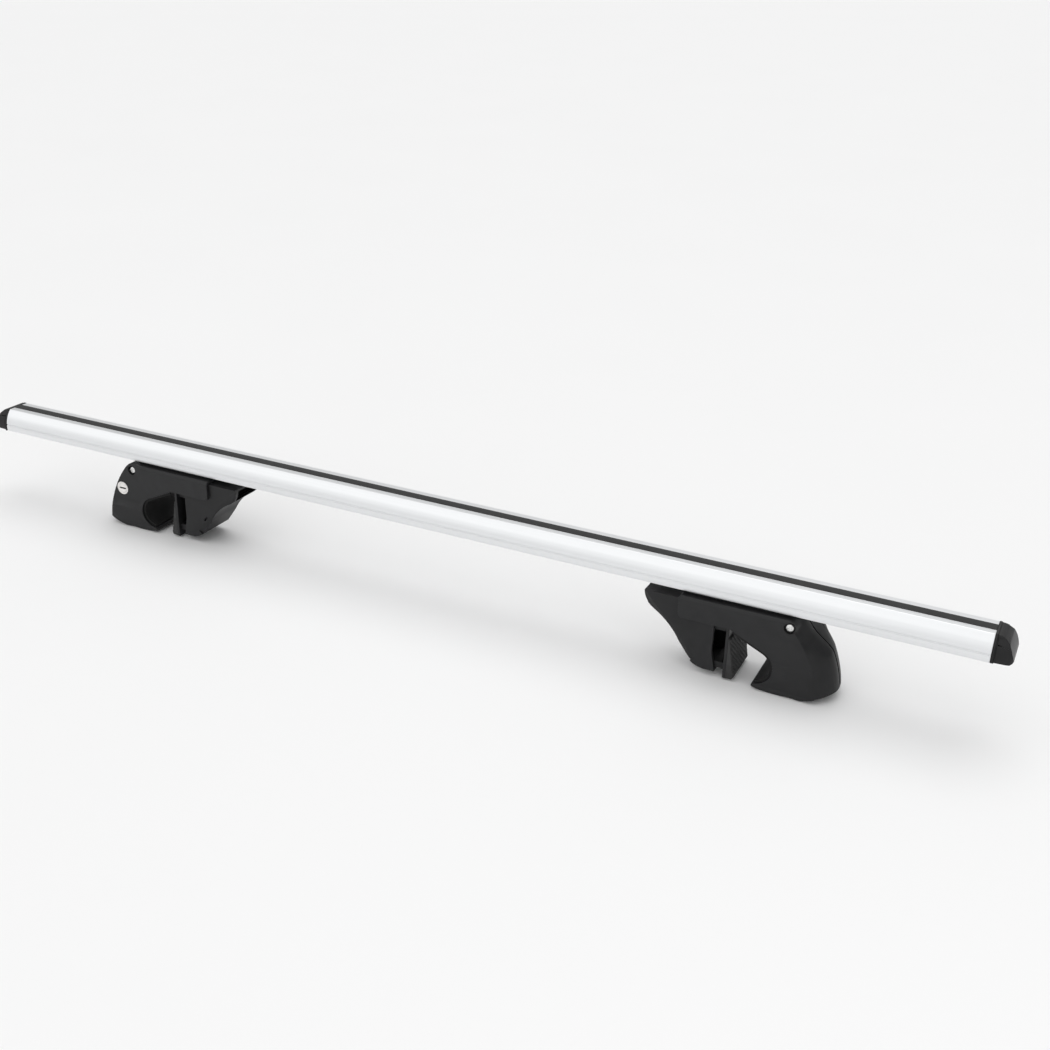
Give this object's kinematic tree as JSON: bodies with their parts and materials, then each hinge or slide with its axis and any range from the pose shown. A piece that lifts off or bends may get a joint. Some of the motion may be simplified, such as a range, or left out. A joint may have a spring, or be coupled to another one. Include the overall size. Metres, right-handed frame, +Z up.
{
  "type": "roof rack crossbar",
  "caption": "Hollow aluminium roof bar on two black clamping feet, each with a lined rail hook, a sliding jaw and a lockable end cover, and a rubber strip in the top slot.",
  "frame": {"origin": "on the plane of the soles, under the middle of the bar", "axes": "+X along the bar towards the foot that stands further out, +Z up from the soles to the bar's flat top"},
  "size_m": [1.24, 0.0612, 0.1139],
  "materials": {
    "bar_aluminium": "satin anodised",
    "rubber": "matt",
    "cap_plastic": "fine satin",
    "foot_plastic": "fine grain",
    "zinc_steel": "bright zinc plate",
    "lock_metal": "satin nickel"
  },
  "bodies": {
    "bar": {"bar_extrusion": "bar_aluminium", "top_strip": "rubber", "end_cap_left": "cap_plastic", "end_cap_right": "cap_plastic"},
    "right_foot": {"right_housing": "foot_plastic", "right_hook_liner": "rubber", "right_saddle_pad": "rubber", "right_hinge_pin": "zinc_steel", "right_cross_bolt": "zinc_steel", "right_cross_nut": "zinc_steel", "right_lock_sleeve": "lock_metal", "right_thrust_washer": "zinc_steel", "right_mount_bolts": "zinc_steel", "right_mount_washers": "zinc_steel", "right_mount_nuts": "zinc_steel"},
    "right_clamp_jaw": {"right_jaw": "foot_plastic", "right_jaw_nut": "zinc_steel"},
    "right_carrier": {"right_pad_carrier": "foot_plastic", "right_grip_pad": "rubber"},
    "right_screw": {"right_clamp_screw": "zinc_steel"},
    "right_cover": {"right_end_cover": "foot_plastic"},
    "right_lock": {"right_lock_barrel": "lock_metal", "right_lock_cam": "zinc_steel"},
    "left_foot": {"left_housing": "foot_plastic", "left_hook_liner": "rubber", "left_saddle_pad": "rubber", "left_hinge_pin": "zinc_steel", "left_cross_bolt": "zinc_steel", "left_cross_nut": "zinc_steel", "left_lock_sleeve": "lock_metal", "left_thrust_washer": "zinc_steel", "left_mount_bolts": "zinc_steel", "left_mount_washers": "zinc_steel", "left_mount_nuts": "zinc_steel"},
    "left_clamp_jaw": {"left_jaw": "foot_plastic", "left_jaw_nut": "zinc_steel"},
    "left_carrier": {"left_pad_carrier": "foot_plastic", "left_grip_pad": "rubber"},
    "left_screw": {"left_clamp_screw": "zinc_steel"},
    "left_cover": {"left_end_cover": "foot_plastic"},
    "left_lock": {"left_lock_barrel": "lock_metal", "left_lock_cam": "zinc_steel"}
  },
  "joints": [
    {"name": "right_foot_slide", "type": "slide", "parent": "bar", "child": "right_foot", "axis": [1, 0, 0], "range_m": [-0.12, 0.13]},
    {"name": "right_jaw_slide", "type": "slide", "parent": "right_foot", "child": "right_clamp_jaw", "axis": [1, 0, 0], "range_m": [-0.02, 0.015]},
    {"name": "right_carrier_slide", "type": "slide", "parent": "right_clamp_jaw", "child": "right_carrier", "axis": [-1, 0, 0], "range_m": [0, 0.0078]},
    {"name": "right_screw_turn", "type": "hinge", "parent": "right_foot", "child": "right_screw", "pos_m": [0.418, 0, 0.0665], "axis": [1, 0, 0], "range_deg": [-4325, 5765]},
    {"name": "right_cover_swing", "type": "hinge", "parent": "right_foot", "child": "right_cover", "pos_m": [0.42905, 0, 0.072], "axis": [0, -1, 0], "range_deg": [0, 60]},
    {"name": "right_key_turn", "type": "hinge", "parent": "right_foot", "child": "right_lock", "pos_m": [0.43504, 0, 0.0504], "axis": [0, 1, 0], "range_deg": [0, 90]},
    {"name": "left_foot_slide", "type": "slide", "parent": "bar", "child": "left_foot", "axis": [-1, 0, 0], "range_m": [-0.12, 0.155]},
    {"name": "left_jaw_slide", "type": "slide", "parent": "left_foot", "child": "left_clamp_jaw", "axis": [-1, 0, 0], "range_m": [-0.02, 0.015]},
    {"name": "left_carrier_slide", "type": "slide", "parent": "left_clamp_jaw", "child": "left_carrier", "axis": [1, 0, 0], "range_m": [0, 0.0078]},
    {"name": "left_screw_turn", "type": "hinge", "parent": "left_foot", "child": "left_screw", "pos_m": [-0.393, 0, 0.0665], "axis": [-1, 0, 0], "range_deg": [-4325, 5765]},
    {"name": "left_cover_swing", "type": "hinge", "parent": "left_foot", "child": "left_cover", "pos_m": [-0.40405, 0, 0.072], "axis": [0, 1, 0], "range_deg": [0, 60]},
    {"name": "left_key_turn", "type": "hinge", "parent": "left_foot", "child": "left_lock", "pos_m": [-0.41004, 0, 0.0504], "axis": [0, -1, 0], "range_deg": [0, 90]}
  ],
  "couplings": [
    {"joint": "right_screw_turn", "follows": "right_jaw_slide", "rad_per_m": -5026.5},
    {"joint": "left_screw_turn", "follows": "left_jaw_slide", "rad_per_m": -5026.5}
  ]
}
